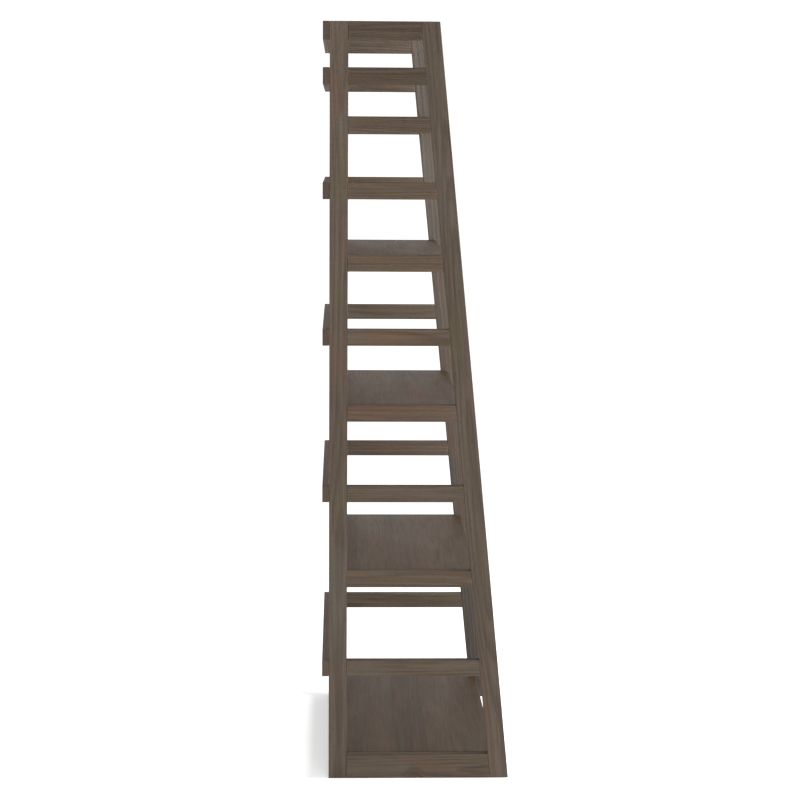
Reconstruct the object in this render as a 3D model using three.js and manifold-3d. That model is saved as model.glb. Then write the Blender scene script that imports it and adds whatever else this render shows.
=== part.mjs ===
// Ladder shelf. Two flat side frames, each an upright rear leg and a leaning front leg joined by
// eleven mortised rails, carry five shelf boards between them. Six slats cross the back.
// Millimetres, +Z up, front towards -Y, width along X. The origin is on the floor, under the
// middle of the whole shelf.

import * as THREE from 'three';
import { mergeVertices } from 'three/addons/utils/BufferGeometryUtils.js';
import Module from 'manifold-3d';

const wasm = await Module();
wasm.setup();

// Overall sizes. The height is the sum of the tiers below.
const width = 762;
const baseDepth = 441;            // on the floor, front leg's face to the rear leg's back
const topDepth = 259;             // the same at the top

// Tiers, lowest first: rise is from this shelf's surface to the next one's, or to the frame's top,
// and gallery is from this shelf's surface to the top of the guard rail above it.
const tiers = [
  { rise: 457, gallery: 236 },
  { rise: 405, gallery: 209 },
  { rise: 360, gallery: 183 },
  { rise: 326, gallery: 171 },
  { rise: 221, gallery: 114 },
];

// Timber sections
const frameThickness = 22;        // legs and side rails, along X
const rearLegDepth = 44;          // along Y
const frontLegDepth = 45;         // along Y, measured level
const railHeight = 40;
const topRailHeight = 44;
const bottomRailHeight = 60;      // stands on the floor, and carries the lowest shelf
const slatThickness = 16;
const boardThickness = 18;
const cleatWidth = 20;            // along X
const cleatHeight = 18;

// Joints between the timbers
const gap = 0.3;                  // between pieces that touch or fit into each other
const tenonLength = 22;
const tenonThickness = 8;
const tenonShoulder = 6;          // rail left above and below the tenon
const boardEndClearance = 1.2;    // board's end to the side frame
const boardFrontSetback = 27;     // board's front edge behind the front leg's face
const boardRearSetback = 6;       // board's rear edge ahead of the rear leg's back
const cleatSetback = 24;          // cleat's ends inside the board's edges

// Countersunk screws that hold the slats
const screwSink = 0.3;            // head's face below the slat's face
const screwTipClearance = 6;      // screw's tip to the tenon ahead of it
const screwHeadRadius = 4.2;
const screwHeadHeight = 3;
const screwShankRadius = 2.1;
const screwTipLength = 5;
const socketRadius = 1.7;
const socketDepth = 1.8;
const screwSides = 20;

// Places worked out from the sizes
const shelfTops = [bottomRailHeight];
for (const tier of tiers) shelfTops.push(shelfTops.at(-1) + tier.rise);
const height = shelfTops.pop();
const backY = (baseDepth - gap - slatThickness) / 2;   // back of the rear legs
const slatBackY = backY + gap + slatThickness;
const rearLegFrontY = backY - rearLegDepth;
const screwTipY = rearLegFrontY + tenonLength + screwTipClearance;
const screwLength = slatBackY - screwSink - screwTipY;
const frameCentreX = (width - frameThickness) / 2;
const sides = { left: -1, right: 1 };

function frontFaceY(z) {
  return backY - baseDepth + (baseDepth - topDepth) * z / height;
}

function frontLegRearY(z) {
  return frontFaceY(z) + frontLegDepth;
}

// A closed solid from a three.js geometry.
function solid(geometry) {
  const bare = geometry.index ? geometry.toNonIndexed() : geometry.clone();
  for (const name of Object.keys(bare.attributes)) {
    if (name !== 'position') bare.deleteAttribute(name);
  }
  const merged = mergeVertices(bare, 1e-4);
  const corners = merged.index.array;
  const triangles = [];
  for (let i = 0; i < corners.length; i += 3) {
    const [a, b, c] = corners.slice(i, i + 3);
    if (a !== b && b !== c && c !== a) triangles.push(a, b, c);
  }
  return new wasm.Manifold(new wasm.Mesh({
    numProp: 3,
    vertProperties: new Float32Array(merged.attributes.position.array),
    triVerts: new Uint32Array(triangles),
  }));
}

function box(xSize, ySize, zSize, x, y, z) {
  return solid(new THREE.BoxGeometry(xSize, ySize, zSize).translate(x, y, z));
}

// A flat timber cut to a side outline of [y, z] corners, thick along X and centred on x.
function sidePanel(outline, thickness, x) {
  const shape = new THREE.Shape(outline.map(([y, z]) => new THREE.Vector2(y, z)));
  const geometry = new THREE.ExtrudeGeometry(shape, { depth: thickness, bevelEnabled: false });
  geometry.translate(0, 0, -thickness / 2);
  const outlineToSide = new THREE.Matrix4().set(
    0, 0, 1, x,
    1, 0, 0, 0,
    0, 1, 0, 0,
    0, 0, 0, 1,
  );
  return solid(geometry.applyMatrix4(outlineToSide));
}

// The level-cut outline between the two legs, reaching into each of them by the given length.
function betweenLegs(bottom, top, reach) {
  const rear = rearLegFrontY - gap + reach;
  return [
    [frontLegRearY(bottom) + gap - reach, bottom],
    [rear, bottom],
    [rear, top],
    [frontLegRearY(top) + gap - reach, top],
  ];
}

// The tenons at a rail's two ends, or with extra all round the mortises that they fit.
function tenons(rail, x, extra) {
  const bottom = rail.bottom + tenonShoulder - extra;
  const top = rail.top - tenonShoulder + extra;
  return sidePanel(betweenLegs(bottom, top, tenonLength + extra), tenonThickness + 2 * extra, x);
}

// A screw or its hole, turned about Y with its head to the back, from [radius, y] corners with y
// measured from the head's face.
function turned(corners, x, z) {
  const profile = corners.map(([radius, y]) => new THREE.Vector2(radius, y));
  const geometry = new THREE.LatheGeometry(profile, screwSides);
  return solid(geometry.translate(x, slatBackY - screwSink, z));
}

function screw(x, z) {
  return turned([
    [0, -screwLength],
    [screwShankRadius, screwTipLength - screwLength],
    [screwShankRadius, -screwHeadHeight],
    [screwHeadRadius, 0],
    [0, 0],
  ], x, z);
}

// The countersunk hole through the slat and on into the leg.
function screwHole(x, z) {
  const bottom = -screwLength - gap;
  const mouth = screwSink + gap;
  return turned([
    [0, bottom],
    [screwShankRadius + gap, bottom],
    [screwShankRadius + gap, -screwHeadHeight],
    [screwHeadRadius + gap, 0],
    [screwHeadRadius + gap, mouth],
    [0, mouth],
  ], x, z);
}

function screwSocket(x, z) {
  const geometry = new THREE.CylinderGeometry(socketRadius, socketRadius, 2 * socketDepth, 6);
  return solid(geometry.translate(x, slatBackY - screwSink, z));
}

// The eleven rails of a side frame, lowest first, and which of them have a slat behind them.
function listRails() {
  const rails = [];
  shelfTops.forEach((top, i) => {
    const level = i + 1;
    const bottom = i === 0 ? 0 : top - railHeight;
    const guardTop = top + tiers[i].gallery;
    rails.push({ name: `shelf_rail_${level}`, bottom, top });
    rails.push({
      name: `guard_rail_${level}`,
      bottom: guardTop - railHeight,
      top: guardTop,
      slat: `rear_slat_${level}`,
    });
  });
  const bottom = height - topRailHeight;
  rails.push({ name: 'top_rail', bottom, top: height, slat: 'rear_slat_top' });
  return rails;
}

const rails = listRails();
const slatRails = rails.filter((rail) => rail.slat);
const model = new THREE.Group();

function addPiece(name, manifold, colour, roughness, metalness) {
  const { vertProperties, triVerts } = manifold.getMesh();
  const geometry = new THREE.BufferGeometry();
  geometry.setAttribute('position', new THREE.BufferAttribute(vertProperties, 3));
  geometry.setIndex(new THREE.BufferAttribute(triVerts, 1));
  geometry.computeVertexNormals();
  const material = new THREE.MeshStandardMaterial({ color: colour, roughness, metalness });
  const mesh = new THREE.Mesh(geometry, material);
  mesh.name = name;
  model.add(mesh);
}

function addTimber(name, manifold, colour) {
  addPiece(name, manifold, colour, 0.75, 0);
}

const legColour = 0x625548;
const railColour = 0x5e4c40;
const boardColour = 0x665a50;
const slatColour = 0x63564c;
const cleatColour = 0x55473c;
const screwColour = 0x3a3836;

// Legs, with a mortise for each rail and a hole for each slat screw.
for (const [side, sign] of Object.entries(sides)) {
  const x = sign * frameCentreX;
  let rearLeg = sidePanel(
    [[rearLegFrontY, 0], [backY, 0], [backY, height], [rearLegFrontY, height]],
    frameThickness,
    x,
  );
  let frontLeg = sidePanel(
    [
      [frontFaceY(0), 0],
      [frontLegRearY(0), 0],
      [frontLegRearY(height), height],
      [frontFaceY(height), height],
    ],
    frameThickness,
    x,
  );
  for (const rail of rails) {
    const mortises = tenons(rail, x, gap);
    rearLeg = rearLeg.subtract(mortises);
    frontLeg = frontLeg.subtract(mortises);
  }
  for (const rail of slatRails) {
    rearLeg = rearLeg.subtract(screwHole(x, (rail.bottom + rail.top) / 2));
  }
  addTimber(`${side}_rear_leg`, rearLeg, legColour);
  addTimber(`${side}_front_leg`, frontLeg, legColour);
}

// Side rails, each with a tenon at both ends.
for (const [side, sign] of Object.entries(sides)) {
  const x = sign * frameCentreX;
  for (const rail of rails) {
    const body = sidePanel(betweenLegs(rail.bottom, rail.top, 0), frameThickness, x);
    addTimber(`${side}_${rail.name}`, body.add(tenons(rail, x, 0)), railColour);
  }
}

// Shelf boards, level with the tops of their rails, each on two cleats fixed to those rails.
const boardLength = width - 2 * (frameThickness + boardEndClearance);
const boardRearY = backY - boardRearSetback;
shelfTops.forEach((top, i) => {
  const level = i + 1;
  const frontY = frontFaceY(top) + boardFrontSetback;
  const boardDepth = boardRearY - frontY;
  const middleY = (boardRearY + frontY) / 2;
  const board = box(boardLength, boardDepth, boardThickness, 0, middleY, top - boardThickness / 2);
  addTimber(`shelf_board_${level}`, board, boardColour);

  const cleatZ = top - boardThickness - gap - cleatHeight / 2;
  const cleatDepth = boardDepth - 2 * cleatSetback;
  for (const [side, sign] of Object.entries(sides)) {
    const cleatX = sign * (width / 2 - frameThickness - gap - cleatWidth / 2);
    const cleat = box(cleatWidth, cleatDepth, cleatHeight, cleatX, middleY, cleatZ);
    addTimber(`${side}_shelf_cleat_${level}`, cleat, cleatColour);
  }
});

// Rear slats, level with the guard rails and the top rail, and the screws at their ends.
for (const rail of slatRails) {
  const slatHeight = rail.top - rail.bottom;
  const middleZ = (rail.top + rail.bottom) / 2;
  let slat = box(width, slatThickness, slatHeight, 0, backY + gap + slatThickness / 2, middleZ);
  for (const [side, sign] of Object.entries(sides)) {
    const x = sign * frameCentreX;
    slat = slat.subtract(screwHole(x, middleZ));
    const fixing = screw(x, middleZ).subtract(screwSocket(x, middleZ));
    addPiece(`${side}_${rail.slat}_screw`, fixing, screwColour, 0.45, 0.9);
  }
  addTimber(rail.slat, slat, slatColour);
}

export default model;
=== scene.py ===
import math
import random

import bmesh
import bpy
from mathutils import Matrix, Vector, noise


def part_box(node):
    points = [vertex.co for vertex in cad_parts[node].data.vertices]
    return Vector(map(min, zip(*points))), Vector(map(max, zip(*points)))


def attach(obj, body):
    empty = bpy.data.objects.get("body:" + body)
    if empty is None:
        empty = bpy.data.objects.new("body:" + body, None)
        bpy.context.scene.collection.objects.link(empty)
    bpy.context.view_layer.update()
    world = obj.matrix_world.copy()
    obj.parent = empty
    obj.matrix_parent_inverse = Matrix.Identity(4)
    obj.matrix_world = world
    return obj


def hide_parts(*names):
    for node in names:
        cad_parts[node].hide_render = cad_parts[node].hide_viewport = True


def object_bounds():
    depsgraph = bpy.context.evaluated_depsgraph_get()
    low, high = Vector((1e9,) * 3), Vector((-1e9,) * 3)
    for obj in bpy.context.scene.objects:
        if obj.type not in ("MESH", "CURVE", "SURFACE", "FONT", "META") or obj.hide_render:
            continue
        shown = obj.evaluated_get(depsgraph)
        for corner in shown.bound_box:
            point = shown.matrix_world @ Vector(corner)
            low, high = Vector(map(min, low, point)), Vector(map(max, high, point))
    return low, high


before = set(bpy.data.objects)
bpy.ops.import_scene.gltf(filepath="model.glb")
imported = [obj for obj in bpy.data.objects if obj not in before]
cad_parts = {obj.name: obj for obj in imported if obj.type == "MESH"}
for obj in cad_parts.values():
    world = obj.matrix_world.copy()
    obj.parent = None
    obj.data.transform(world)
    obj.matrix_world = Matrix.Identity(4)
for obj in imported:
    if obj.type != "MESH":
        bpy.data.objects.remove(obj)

cad_low, cad_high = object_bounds()


# ---- Rear legs -------------------------------------------------------------------------------
# The two rear legs stand upright, one at the back of each side frame. Each is a length of planed
# pine with its corners eased by hand. It is stained grey-brown, rubbed a little at the corners,
# with a painted highlight along them, and finished with a thin low-sheen lacquer.

def linear(red, green, blue):
    """A colour given as it looks, 0 to 255, as the linear light values that a shader takes."""
    def channel(value):
        value /= 255
        return value / 12.92 if value <= 0.04045 else ((value + 0.055) / 1.055) ** 2.4
    return (channel(red), channel(green), channel(blue), 1.0)


def add_node(tree, kind, inputs=None, **settings):
    """A shader node with its settings made and its inputs set or linked, by name or number."""
    made = tree.nodes.new(kind)
    for name, value in settings.items():
        setattr(made, name, value)
    for key, value in (inputs or {}).items():
        socket = made.inputs[key]
        if isinstance(value, bpy.types.NodeSocket):
            tree.links.new(value, socket)
        else:
            socket.default_value = value
    return made


def stained_pine(name, early_wood, late_wood, depth, gloss=0.56, sheen=0.28):
    """Stained pine. It reads the timber's own grain attribute: metres across, across and along,
    measured from the middle of the tree, so faces, edges and ends are all cut from one log."""
    material = bpy.data.materials.new(name)
    material.use_nodes = True
    tree = material.node_tree
    shader = tree.nodes["Principled BSDF"]

    def maths(operation, first, second=0.0, clamp=False):
        made = add_node(tree, "ShaderNodeMath", {0: first, 1: second}, operation=operation)
        made.use_clamp = clamp
        return made.outputs[0]

    def vector_maths(operation, first, second=(0.0, 0.0, 0.0)):
        return add_node(tree, "ShaderNodeVectorMath", {0: first, 1: second}, operation=operation)

    def band(value, low, high):
        """Rises smoothly from 0 at low to 1 at high, or falls where high is the smaller."""
        made = add_node(tree, "ShaderNodeMapRange", {
            "Value": value, "From Min": low, "From Max": high,
        }, interpolation_type="SMOOTHSTEP")
        return made.outputs[0]

    def cloud(across, along, detail, roughness, shift=(0.0, 0.0, 0.0)):
        """Noise with so many lumps in a metre across the grain and along it."""
        place = add_node(tree, "ShaderNodeMapping", {
            "Vector": grain, "Scale": (across, across, along), "Location": shift,
        })
        return add_node(tree, "ShaderNodeTexNoise", {
            "Vector": place.outputs[0], "Scale": 1.0, "Detail": detail, "Roughness": roughness,
        })

    def lay_over(under, over, where, strength):
        """Another colour over the wood, where a pattern says and at most as strong as strength."""
        made = add_node(tree, "ShaderNodeMix", {
            0: maths("MULTIPLY", where, strength), 6: under, 7: over,
        }, data_type="RGBA")
        return made.outputs[2]

    grain = add_node(tree, "ShaderNodeAttribute", attribute_name="grain").outputs["Vector"]
    wear_and_painted_light = add_node(tree, "ShaderNodeAttribute", attribute_name="wear_and_painted_light").outputs["Vector"]
    rub_and_highlight, end_grain, tone_and_shading = add_node(tree, "ShaderNodeSeparateXYZ", {0: wear_and_painted_light}).outputs

    # Knots: a few branches crossing each timber, which the rings flow round.
    knots_per_metre = (0.6, 5.2, 3.6)
    knot_map = add_node(tree, "ShaderNodeMapping", {"Vector": grain, "Scale": knots_per_metre})
    knot_distance = add_node(tree, "ShaderNodeTexVoronoi", {
        "Vector": knot_map.outputs[0], "Scale": 1.0, "Randomness": 1.0,
    }).outputs["Distance"]
    knot = band(knot_distance, 0.034, 0.016)
    knot_halo = band(knot_distance, 0.12, 0.02)

    # Growth rings, bent by slow wander along the trunk.
    ring_gap = 0.0042
    ring_wander = (0.050, 0.050, 0.0)
    ring_bulge_at_knot = 0.006
    wander = cloud(across=7.0, along=0.9, detail=2.0, roughness=0.45).outputs["Color"]
    centred = vector_maths("SUBTRACT", wander, (0.5, 0.5, 0.5)).outputs[0]
    bend = vector_maths("MULTIPLY", centred, ring_wander).outputs[0]
    bent = vector_maths("ADD", grain, bend).outputs[0]
    flat = vector_maths("MULTIPLY", bent, (1.0, 1.0, 0.0)).outputs[0]
    radius = vector_maths("LENGTH", flat).outputs["Value"]
    radius = maths("ADD", radius, maths("MULTIPLY", knot_halo, ring_bulge_at_knot))
    ring = maths("FRACT", maths("DIVIDE", radius, ring_gap))
    late_band = maths("MULTIPLY", band(ring, 0.25, 0.86), band(ring, 1.0, 0.93))

    # Fibres, pores and slow changes of colour.
    fibre = cloud(across=520.0, along=9.0, detail=3.0, roughness=0.62).outputs["Fac"]
    streak = cloud(across=120.0, along=2.2, detail=3.0, roughness=0.6,
                   shift=(3.1, 1.7, 0.4)).outputs["Fac"]
    pore = cloud(across=1500.0, along=70.0, detail=1.0, roughness=0.5,
                 shift=(0.3, 4.0, 2.0)).outputs["Fac"]
    pore = band(pore, 0.60, 0.70)
    patch = cloud(across=9.0, along=3.2, detail=3.0, roughness=0.55,
                  shift=(5.0, 2.0, 8.0)).outputs["Fac"]
    hue = cloud(across=16.0, along=5.0, detail=2.0, roughness=0.5,
                shift=(1.0, 9.0, 3.0)).outputs["Fac"]

    fibre_shadow = linear(46, 33, 24)
    reddish = linear(98, 68, 52)
    olive = linear(84, 76, 50)
    grey_film = linear(100, 94, 86)
    pore_dark = linear(30, 20, 14)
    knot_rim = linear(52, 33, 22)
    knot_heart = linear(30, 18, 12)
    end_dark = linear(40, 29, 21)
    colour = lay_over(early_wood, late_wood, late_band, strength=0.42)
    colour = lay_over(colour, late_wood, band(streak, 0.40, 0.68), strength=0.40)
    colour = lay_over(colour, fibre_shadow, band(fibre, 0.42, 0.70), strength=0.34)
    colour = lay_over(colour, reddish, band(hue, 0.52, 0.68), strength=0.24)
    colour = lay_over(colour, olive, band(hue, 0.46, 0.32), strength=0.34)
    colour = lay_over(colour, grey_film, band(patch, 0.48, 0.72), strength=0.30)
    colour = lay_over(colour, pore_dark, pore, strength=0.30)
    colour = lay_over(colour, knot_rim, knot_halo, strength=0.25)
    colour = lay_over(colour, knot_heart, knot, strength=0.60)
    colour = lay_over(colour, end_dark, end_grain, strength=0.45)

    # Rubbed corners show paler wood, partly as wear and partly as a painted highlight along the
    # eased edges, and the stain is broken where they were sanded.
    bare_wood_and_highlight = linear(132, 104, 80)
    rub_and_highlight_break = cloud(across=60.0, along=14.0, detail=3.0, roughness=0.65,
                      shift=(7.0, 7.0, 1.0)).outputs["Fac"]
    rubbed_and_highlit = maths("MULTIPLY", band(rub_and_highlight, 0.70, 1.0), band(rub_and_highlight_break, 0.50, 0.66))
    colour = lay_over(colour, bare_wood_and_highlight, rubbed_and_highlit, strength=0.50)

    # Each timber is a little lighter or darker: partly at random, as it took the stain, and partly
    # as painted shading for how the light falls on it, with the drift along it as painted shade.
    tone_and_shading_strength = 0.16
    lighter = maths("ADD", maths("MULTIPLY", tone_and_shading, tone_and_shading_strength), 1.0)
    lighter = maths("MULTIPLY", lighter, depth)
    toned = add_node(tree, "ShaderNodeVectorMath", {0: colour, 3: lighter}, operation="SCALE")
    tree.links.new(toned.outputs[0], shader.inputs["Base Color"])

    fibre_roughness = 0.16
    rubbed_roughness = 0.10
    rough = maths("ADD", maths("MULTIPLY", fibre, fibre_roughness), gloss)
    rough = maths("ADD", rough, maths("MULTIPLY", rubbed_and_highlit, rubbed_roughness), clamp=True)
    tree.links.new(rough, shader.inputs["Roughness"])

    # The fine surface: raised late wood and fibres, open pores and small dents.
    late_rise, fibre_rise, pore_drop, dent_drop = 0.30, 0.45, 0.55, 0.9
    dent = cloud(across=42.0, along=26.0, detail=1.0, roughness=0.4,
                 shift=(2.0, 6.0, 4.0)).outputs["Fac"]
    dent = band(dent, 0.30, 0.22)
    height = maths("ADD", maths("MULTIPLY", late_band, late_rise),
                   maths("MULTIPLY", fibre, fibre_rise))
    height = maths("SUBTRACT", height, maths("MULTIPLY", pore, pore_drop))
    height = maths("SUBTRACT", height, maths("MULTIPLY", dent, dent_drop))
    bump = add_node(tree, "ShaderNodeBump", {
        "Height": height, "Strength": 0.55, "Distance": 0.0006,
    })
    tree.links.new(bump.outputs[0], shader.inputs["Normal"])
    shader.inputs["IOR"].default_value = 1.45
    shader.inputs["Specular IOR Level"].default_value = sheen
    return material


def saw_through(bm, axis, place):
    """Cuts a timber's faces at a place on one axis, with both sides left where they are."""
    square = Vector((0.0, 0.0, 0.0))
    square[axis] = 1.0
    bmesh.ops.bisect_plane(bm, geom=bm.verts[:] + bm.edges[:] + bm.faces[:], dist=1e-6,
                           plane_co=square * place, plane_no=square)


def eased_box(low, high, along, ease, end_ease):
    """A timber sawn to size, with its long edges rounded over and then the edges of its ends."""
    size = high - low
    bm = bmesh.new()
    bmesh.ops.create_cube(bm, size=1.0)
    bmesh.ops.scale(bm, vec=size, verts=bm.verts)
    bmesh.ops.translate(bm, vec=(high + low) / 2, verts=bm.verts)

    def run(edge):
        return abs(edge.verts[0].co[along] - edge.verts[1].co[along])

    long_edges = [edge for edge in bm.edges if run(edge) > size[along] / 2]
    bmesh.ops.bevel(bm, geom=long_edges, offset=ease, segments=3, profile=0.5,
                    affect="EDGES", material=-1)
    end_edges = [edge for edge in bm.edges if run(edge) < size[along] / 2]
    bmesh.ops.bevel(bm, geom=end_edges, offset=end_ease, segments=2, profile=0.5,
                    affect="EDGES", material=-1)
    return bm


def wear_corners(bm, low, high, across, ease, luck):
    """The rounded corners are pulled in, more where the timber was knocked."""
    knocks_per_metre, knock_depth, knock_threshold = 22, 0.0011, 0.12
    ripples_per_metre, ripple_depth = 90, 0.00010
    least_depth, most_depth = 1e-5, ease * 0.999      # on the rounding, clear of both flats
    middle = (high + low) / 2
    seed = Vector([luck.uniform(0, 50) for _ in range(3)])
    for vert in bm.verts:
        depth = [min(vert.co[a] - low[a], high[a] - vert.co[a]) for a in across]
        if not all(least_depth < d < most_depth for d in depth):
            continue
        inward = Vector((0, 0, 0))
        for a in across:
            inward[a] = 1.0 if vert.co[a] < middle[a] else -1.0
        knock = noise.noise(vert.co * knocks_per_metre + seed) - knock_threshold
        ripple = noise.noise(vert.co * ripples_per_metre + seed) + 1
        vert.co += inward * (max(0.0, knock) * knock_depth + ripple * ripple_depth)


def lay_grain(bm, low, high, along, across, lines, luck, rub_and_highlight_depth, tone_and_shading, painted_shade_drift):
    """Gives every face corner its place in the log that the timber, or each stave between the
    glue lines of a board, was sawn from, and its wear and painted light: rub with a painted
    highlight on it, end grain, and a tone that is drawn at random or set as painted shading,
    with the drift along it as painted shade."""
    grain_layer = bm.loops.layers.float_vector.new("grain")
    wear_and_painted_light_layer = bm.loops.layers.float_vector.new("wear_and_painted_light")
    size = high - low
    middle = (high + low) / 2
    thin, wide = across
    starts = [low[wide]] + lines
    finishes = lines + [high[wide]]
    heart_depths, heart_offsets, log_places = (0.015, 0.09), (-0.05, 0.05), (-30, 30)
    cuts = []
    for _ in starts:
        heart = Vector((luck.uniform(*heart_depths), luck.uniform(*heart_offsets),
                        luck.uniform(*log_places)))
        cuts.append((heart, luck.choice((-1, 1)), luck.choice((-1, 1)), luck.uniform(-1, 1)))
    timber_share, stave_share = 0.55, 0.5
    facing_end, facing_square = 0.9, 0.99999
    drawn_tone = luck.uniform(-1, 1)
    timber_tone_and_shading = timber_share * (drawn_tone if tone_and_shading is None else tone_and_shading)
    for face in bm.faces:
        centre = face.calc_center_median()
        stave = sum(centre[wide] > line for line in lines)
        heart, flip_thin, flip_wide, stave_tone = cuts[stave]
        stave_middle = (starts[stave] + finishes[stave]) / 2
        face_tone_and_shading = timber_tone_and_shading + (stave_share * stave_tone if lines else 0.0)
        is_end = abs(face.normal[along]) > facing_end
        face.smooth = max(abs(c) for c in face.normal) <= facing_square
        for loop in face.loops:
            co = loop.vert.co
            loop[grain_layer] = (
                flip_thin * (co[thin] - middle[thin]) + heart.x,
                flip_wide * (co[wide] - stave_middle) + heart.y,
                co[along] - middle[along] + heart.z,
            )
            # The band along the eased edges, for rubbed wear and a painted highlight together.
            inset = sorted(min(co[a] - low[a], high[a] - co[a]) for a in range(3))[1]
            rub_and_highlight = max(0.0, 1.0 - inset / rub_and_highlight_depth)
            # Painted shade: the drift makes the timber lighter at one end than the other.
            painted_shade_slope = painted_shade_drift * (co[along] - middle[along]) / size[along]
            loop[wear_and_painted_light_layer] = (rub_and_highlight, 1.0 if is_end else 0.0, face_tone_and_shading + painted_shade_slope)


def plane_timber(name, low, high, along, ease=0.0013, end_ease=0.0013, rub_and_highlight_depth=0.004,
                 lines=(), drill=None, tone_and_shading=None, painted_shade_drift=0.0):
    """One planed timber as a bmesh, from corner to corner, cut into short lengths along its grain
    so that its rounded edges can be worn unevenly. lines are the glue lines across a board, and
    drill cuts the timber's holes. A given tone makes it lighter or darker than its fellows as
    painted shading for how the light falls on it, and without one a tone is drawn at random; the
    drift makes one end lighter than the other, as painted shade."""
    station_gap = 0.014
    luck = random.Random(name)
    size = high - low
    across = [axis for axis in (X, Y, Z) if axis != along]
    thin, wide = sorted(across, key=lambda axis: size[axis])
    bm = eased_box(low, high, along, ease, end_ease)
    for axis in across:
        saw_through(bm, axis, low[axis] + rub_and_highlight_depth)
        saw_through(bm, axis, high[axis] - rub_and_highlight_depth)
    for place in lines:
        saw_through(bm, wide, place)
    stations = max(2, round(size[along] / station_gap))
    for i in range(1, stations):
        saw_through(bm, along, low[along] + size[along] * i / stations)
    if drill:
        drill(bm)
    wear_corners(bm, low, high, across, ease, luck)
    lay_grain(bm, low, high, along, (thin, wide), list(lines), luck, rub_and_highlight_depth, tone_and_shading, painted_shade_drift)
    return bm


def finish_timber(bm, name, node, material):
    """The timber's object, in place, riding on the shelf and standing for its CAD node."""
    mesh = bpy.data.meshes.new(name)
    bm.to_mesh(mesh)
    bm.free()
    mesh.materials.append(material)
    piece = bpy.data.objects.new(name, mesh)
    bpy.context.scene.collection.objects.link(piece)
    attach(piece, "root")
    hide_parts(node)


X, Y, Z = 0, 1, 2
sides = ("left", "right")
leg_stains = {
    "left": stained_pine("left_leg_stain", linear(94, 82, 70), linear(62, 51, 42), depth=0.71),
    "right": stained_pine("right_leg_stain", linear(90, 83, 76), linear(59, 52, 46), depth=0.72),
}
# The rear legs' tones and drift are painted shading for how the light falls on them.
rear_leg_painted_shading = {"left": 0.6, "right": -0.2}
rear_leg_painted_shade_drift = 2.2                 # painted shade: the legs are a little darker towards the feet

for side in sides:
    node = f"{side}_rear_leg"
    low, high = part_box(node)
    leg = plane_timber(node, low, high, Z, tone_and_shading=rear_leg_painted_shading[side], painted_shade_drift=rear_leg_painted_shade_drift)
    finish_timber(leg, f"{side}_rear_leg_timber", node, leg_stains[side])


# ---- Front legs ------------------------------------------------------------------------------
# The two front legs lean back towards the top. They are the same planed and stained pine as the
# rear legs, with their feet and heads cut level.

front_leg_depth = 0.045
# The front legs' tones and drifts are painted shading: with its drift the right front leg is
# lighter towards the top, for how the light falls on it.
front_leg_painted_shading = {"left": -0.2, "right": 0.1}
front_leg_painted_shade_drifts = {"left": 0.0, "right": 3.4}
foot_low, foot_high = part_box("left_front_leg")
frame_height = foot_high.z - foot_low.z
frame_thickness = foot_high.x - foot_low.x
lean = (foot_high.y - foot_low.y - front_leg_depth) / frame_height


def front_face_y(z):
    """Where the front legs' faces are at a height."""
    return foot_low.y + lean * z


for side in sides:
    node = f"{side}_front_leg"
    low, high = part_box(node)
    high.y = low.y + front_leg_depth
    leg = plane_timber(node, low, high, Z, tone_and_shading=front_leg_painted_shading[side],
                       painted_shade_drift=front_leg_painted_shade_drifts[side])
    for vert in leg.verts:
        vert.co.y += lean * vert.co.z
    finish_timber(leg, f"{side}_front_leg_timber", node, leg_stains[side])


# ---- Side rails ------------------------------------------------------------------------------
# Eleven level rails tie each pair of legs into a flat side frame: one at the top, one at each
# shelf and a guard rail in the middle of each tier. They are pine, tenoned into the legs, and
# their front shoulders are cut to the lean of the front leg.

joint_gap = 0.00002
rail_ease = 0.0011
shoulder_ease = 0.00025
rail_stains = {
    "left": stained_pine("left_rail_stain", linear(92, 78, 64), linear(58, 46, 36), depth=0.81),
    "right": stained_pine("right_rail_stain", linear(90, 79, 68), linear(57, 47, 39), depth=0.81),
}
# The per-rail tones are painted shading, lighter or darker for how the light falls on each rail.
rail_painted_shading = {
    "left": {
        "top_rail": -2.2, "guard_rail_5": -2.2, "shelf_rail_5": -0.8, "guard_rail_4": 1.0,
        "shelf_rail_4": 0.6, "guard_rail_3": 0.5, "shelf_rail_3": -0.2, "guard_rail_2": -1.4,
        "shelf_rail_2": -0.7, "guard_rail_1": -1.2, "shelf_rail_1": -2.0,
    },
    "right": {"top_rail": 1.0, "guard_rail_5": 1.3},
}
rear_leg_front_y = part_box("left_rear_leg")[0].y
levels = range(1, 6)
rail_names = ["top_rail"]
rail_names += [f"shelf_rail_{level}" for level in levels]
rail_names += [f"guard_rail_{level}" for level in levels]

for side in sides:
    for rail_name in rail_names:
        node = f"{side}_{rail_name}"
        low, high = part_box(node)
        middle_z = (low.z + high.z) / 2
        high.y = rear_leg_front_y - joint_gap
        low.y = front_face_y(middle_z) + front_leg_depth + joint_gap
        rail = plane_timber(node, low, high, Y, ease=rail_ease, end_ease=shoulder_ease,
                            tone_and_shading=rail_painted_shading[side].get(rail_name, 0.0))
        for vert in rail.verts:
            share = (high.y - vert.co.y) / (high.y - low.y)
            vert.co.y += share * lean * (vert.co.z - middle_z)
        finish_timber(rail, f"{side}_{rail_name}_timber", node, rail_stains[side])


# ---- Shelf boards ----------------------------------------------------------------------------
# Five boards, each glued up from narrow pine staves that run the width of the shelf. They lie
# between the side frames, level with the tops of the shelf rails, with their edges eased.

# The boards' stain is darker than the frame's as painted shade, holding their well-lit tops down
# to the shade of the side frames.
shelf_stain_with_painted_shade = stained_pine("shelf_stain_with_painted_shade", linear(88, 71, 56), linear(61, 47, 36), depth=0.65,
                           gloss=0.52, sheen=0.27)
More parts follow.
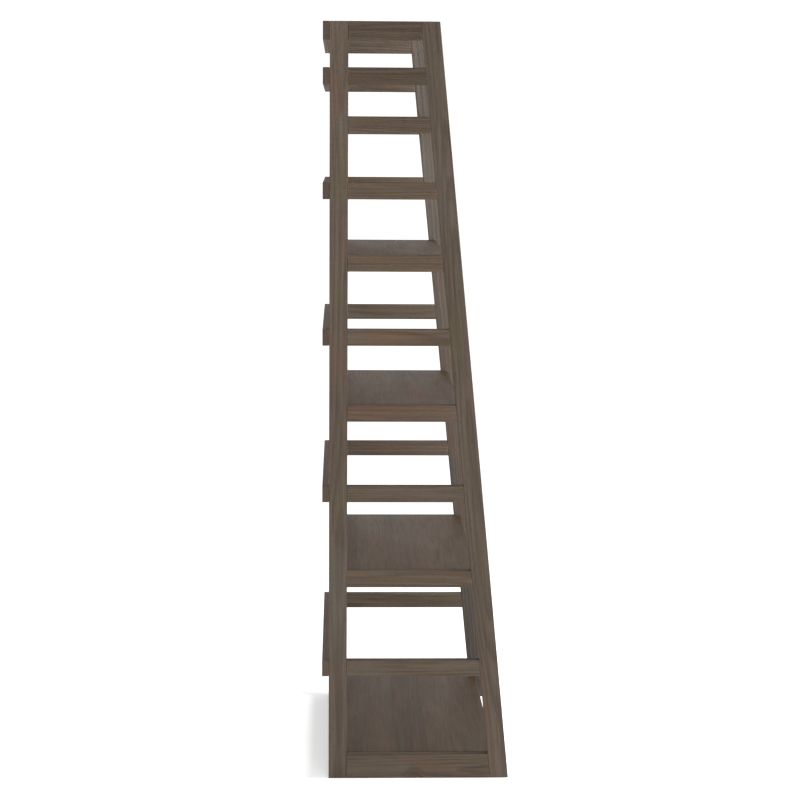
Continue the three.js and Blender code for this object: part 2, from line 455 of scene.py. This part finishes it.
# Per-board tones are painted light: the lowest board darker as painted shade from the shelves
# above it, the fourth board lighter as a painted sheen.
board_painted_shading = {1: -1.9, 2: -0.4, 3: 1.2, 4: 4.2, 5: 1.4}
board_ease = 0.0015
stave_width = 0.078

for level in levels:
    node = f"shelf_board_{level}"
    low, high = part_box(node)
    stave_count = round((high.y - low.y) / stave_width)
    lines = [low.y + (high.y - low.y) * i / stave_count for i in range(1, stave_count)]
    board = plane_timber(node, low, high, X, ease=board_ease, lines=lines,
                         tone_and_shading=board_painted_shading[level])
    finish_timber(board, f"shelf_board_{level}_panel", node, shelf_stain_with_painted_shade)


# ---- Cleats ----------------------------------------------------------------------------------
# A plain pine cleat, nearly square, fixed to the inside of the shelf rail under each end of each
# board, carries the board. The cleats are stained with the rest but left unpolished.

cleat_stain = stained_pine("cleat_stain", linear(82, 68, 55), linear(52, 41, 32), depth=0.8,
                           gloss=0.66)
cleat_ease = 0.001
cleat_rub_and_highlight_depth = 0.003

for level in levels:
    for side in sides:
        node = f"{side}_shelf_cleat_{level}"
        low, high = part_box(node)
        cleat = plane_timber(node, low, high, Y, ease=cleat_ease, rub_and_highlight_depth=cleat_rub_and_highlight_depth)
        finish_timber(cleat, f"{side}_shelf_cleat_{level}_timber", node, cleat_stain)


# ---- Rear slats ------------------------------------------------------------------------------
# Six pine slats cross the back from side to side, behind the rear legs and level with the guard
# rails and the top rail. They stop things from falling off the back and keep the side frames
# square. Each is drilled and countersunk at both ends for the screws that hold it.

slat_stain = stained_pine("slat_stain", linear(94, 82, 72), linear(62, 51, 44), depth=0.98)
slat_names = [f"rear_slat_{level}" for level in levels] + ["rear_slat_top"]
slat_ease = 0.0016
slat_end_ease = 0.0012
slat_seat = 0.00028                  # brings the slat up against the legs
slat_skin = 0.001                    # wood left at the bottom of a hole, against the leg
hole_clearance = 0.0003
screw_head_radius = 0.0042
screw_head_height = 0.003
screw_shank_radius = 0.0021
screw_sink = 0.0003


def countersink(bm, x, back_y, z, depth):
    """A countersunk hole in a timber's back, round the screw's place, with a flat bottom."""
    mouth = screw_head_radius + hole_clearance
    throat = screw_shank_radius + hole_clearance
    saw_through(bm, X, x)
    saw_through(bm, Z, z)
    place = Vector((x, back_y, z))
    centre = min(bm.verts, key=lambda vert: (vert.co - place).length)
    patch = bmesh.ops.bevel(bm, geom=[centre], offset=mouth, segments=6, profile=0.5,
                            affect="VERTICES", material=-1)
    bottom = bmesh.ops.dissolve_faces(bm, faces=patch["faces"])["region"][0]

    def set_rim(radius, y):
        for vert in bottom.verts:
            reach = Vector((vert.co.x - x, 0.0, vert.co.z - z)).normalized() * radius
            vert.co = Vector((x, back_y - y, z)) + reach

    set_rim(mouth, 0.0)
    for radius, y in ((mouth, screw_sink), (throat, screw_sink + screw_head_height),
                      (throat, depth)):
        bottom = bmesh.ops.extrude_discrete_faces(bm, faces=[bottom])["faces"][0]
        set_rim(radius, y)


for slat_name in slat_names:
    low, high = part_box(slat_name)
    screw_z = (low.z + high.z) / 2
    screw_x = high.x - frame_thickness / 2
    low.y -= slat_seat
    hole_depth = high.y - low.y - slat_skin

    def drill_slat(bm):
        for x in (-screw_x, screw_x):
            countersink(bm, x, high.y, screw_z, hole_depth)

    slat = plane_timber(slat_name, low, high, X, ease=slat_ease, end_ease=slat_end_ease,
                        drill=drill_slat)
    finish_timber(slat, f"{slat_name}_timber", slat_name, slat_stain)


# ---- Slat screws -----------------------------------------------------------------------------
# A black countersunk screw with a six-sided socket holds each end of each slat to the rear leg.
# The screws are steel, turned and then plated black.

def black_zinc():
    """Black zinc plate on steel, with a fine speckle in its colour and its polish."""
    material = bpy.data.materials.new("black_zinc")
    material.use_nodes = True
    tree = material.node_tree
    shader = tree.nodes["Principled BSDF"]
    place = add_node(tree, "ShaderNodeTexCoord").outputs["Object"]
    speckle = add_node(tree, "ShaderNodeTexNoise", {
        "Vector": place, "Scale": 900.0, "Detail": 3.0,
    }).outputs["Fac"]
    shade = add_node(tree, "ShaderNodeMix", {
        0: speckle, 6: linear(38, 36, 35), 7: linear(74, 71, 68),
    }, data_type="RGBA")
    rough = add_node(tree, "ShaderNodeMapRange", {
        "Value": speckle, "To Min": 0.2, "To Max": 0.55,
    })
    tree.links.new(shade.outputs[2], shader.inputs["Base Color"])
    tree.links.new(rough.outputs[0], shader.inputs["Roughness"])
    shader.inputs["Metallic"].default_value = 0.9
    return material


screw_plate = black_zinc()

for slat_name in slat_names:
    for side in sides:
        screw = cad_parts[f"{side}_{slat_name}_screw"]
        screw.material_slots[0].material = screw_plate


# ---- Floor, light and camera -----------------------------------------------------------------
# A white studio floor under an even white surround, with a large soft lamp at the front and a
# fainter one out to the left.

def studio_white():
    """The lit white floor: plain white, with a little light of its own, more of it further out."""
    material = bpy.data.materials.new("studio_white")
    material.use_nodes = True
    tree = material.node_tree
    shader = tree.nodes["Principled BSDF"]
    place = add_node(tree, "ShaderNodeTexCoord").outputs["Object"]
    reach = add_node(tree, "ShaderNodeVectorMath", {0: place}, operation="LENGTH")
    glow = add_node(tree, "ShaderNodeMapRange", {
        "Value": reach.outputs["Value"], "From Min": 0.8, "From Max": 2.8,
        "To Min": 0.32, "To Max": 0.52,
    })
    tree.links.new(glow.outputs[0], shader.inputs["Emission Strength"])
    shader.inputs["Base Color"].default_value = (0.92, 0.92, 0.92, 1.0)
    shader.inputs["Roughness"].default_value = 0.9
    shader.inputs["Specular IOR Level"].default_value = 0.0
    shader.inputs["Emission Color"].default_value = (1.0, 1.0, 1.0, 1.0)
    return material


scene = bpy.context.scene
floor_half = 60.0
floor_mesh = bpy.data.meshes.new("studio_floor")
floor_bm = bmesh.new()
bmesh.ops.create_grid(floor_bm, x_segments=1, y_segments=1, size=floor_half)
floor_bm.to_mesh(floor_mesh)
floor_bm.free()
floor_mesh.materials.append(studio_white())
floor = bpy.data.objects.new("studio_floor", floor_mesh)
scene.collection.objects.link(floor)

# The surround is dimmer overhead, so that the shelves are not lit more than the side frames.
surround_light = 1.12
overhead_share = 0.5
dimming_starts, dimming_ends = 0.22, 0.75      # heights on a dome 1 high
world = bpy.data.worlds.new("studio_surround")
world.use_nodes = True
backdrop = world.node_tree.nodes["Background"]
backdrop.inputs["Strength"].default_value = surround_light
heading = add_node(world.node_tree, "ShaderNodeTexCoord").outputs["Generated"]
climb = add_node(world.node_tree, "ShaderNodeSeparateXYZ", {0: heading}).outputs["Z"]
shade = add_node(world.node_tree, "ShaderNodeMapRange", {
    "Value": climb, "From Min": dimming_starts, "From Max": dimming_ends,
    "To Min": 1.0, "To Max": overhead_share,
}, interpolation_type="SMOOTHSTEP")
world.node_tree.links.new(shade.outputs[0], backdrop.inputs["Color"])
scene.world = world
scene.view_settings.view_transform = "Standard"


def soft_lamp(name, place, target, width, height, power):
    """A soft rectangular lamp, seen neither by the camera nor as a glare on the wood."""
    lamp_data = bpy.data.lights.new(name, "AREA")
    lamp_data.shape = "RECTANGLE"
    lamp_data.size = width
    lamp_data.size_y = height
    lamp_data.energy = power
    lamp = bpy.data.objects.new(name, lamp_data)
    scene.collection.objects.link(lamp)
    lamp.location = place
    lamp.rotation_euler = (Vector(target) - Vector(place)).to_track_quat("-Z", "Y").to_euler()
    lamp.visible_camera = False
    lamp.visible_glossy = False


soft_lamp("front_softbox", place=(-0.22, -1.4, 1.45), target=(0.36, 0.0, 1.2),
          width=0.8, height=1.4, power=69)
soft_lamp("side_softbox", place=(-4.2, -0.6, 0.9), target=(0.0, 0.0, 0.8),
          width=1.6, height=1.2, power=78)

# The camera looks at the left side frame from a little below the top of the shelf.
camera_distance = 4.8527
camera_ahead_of_back = 0.02337
camera_height = 1.5518
camera_pitch = math.radians(7.239)
camera_turn = math.radians(1.728)
camera_roll = math.radians(0.346)
camera_lens = 91.91
camera_film = 36.0

rear_leg_back_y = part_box("left_rear_leg")[1].y
forward = Vector((
    math.cos(camera_pitch) * math.cos(camera_turn),
    -math.cos(camera_pitch) * math.sin(camera_turn),
    -math.sin(camera_pitch),
))
level_right = forward.cross(Vector((0, 0, 1))).normalized()
level_up = level_right.cross(forward)
right = level_right * math.cos(camera_roll) + level_up * math.sin(camera_roll)
up = level_up * math.cos(camera_roll) - level_right * math.sin(camera_roll)

camera_data = bpy.data.cameras.new("camera")
camera_data.sensor_width = camera_film
camera_data.lens = camera_lens
camera_data.clip_end = 200.0
camera = bpy.data.objects.new("camera", camera_data)
scene.collection.objects.link(camera)
camera.matrix_world = Matrix.Translation((
    cad_low.x - camera_distance,
    rear_leg_back_y - camera_ahead_of_back,
    camera_height,
)) @ Matrix((right, up, -forward)).transposed().to_4x4()
scene.camera = camera
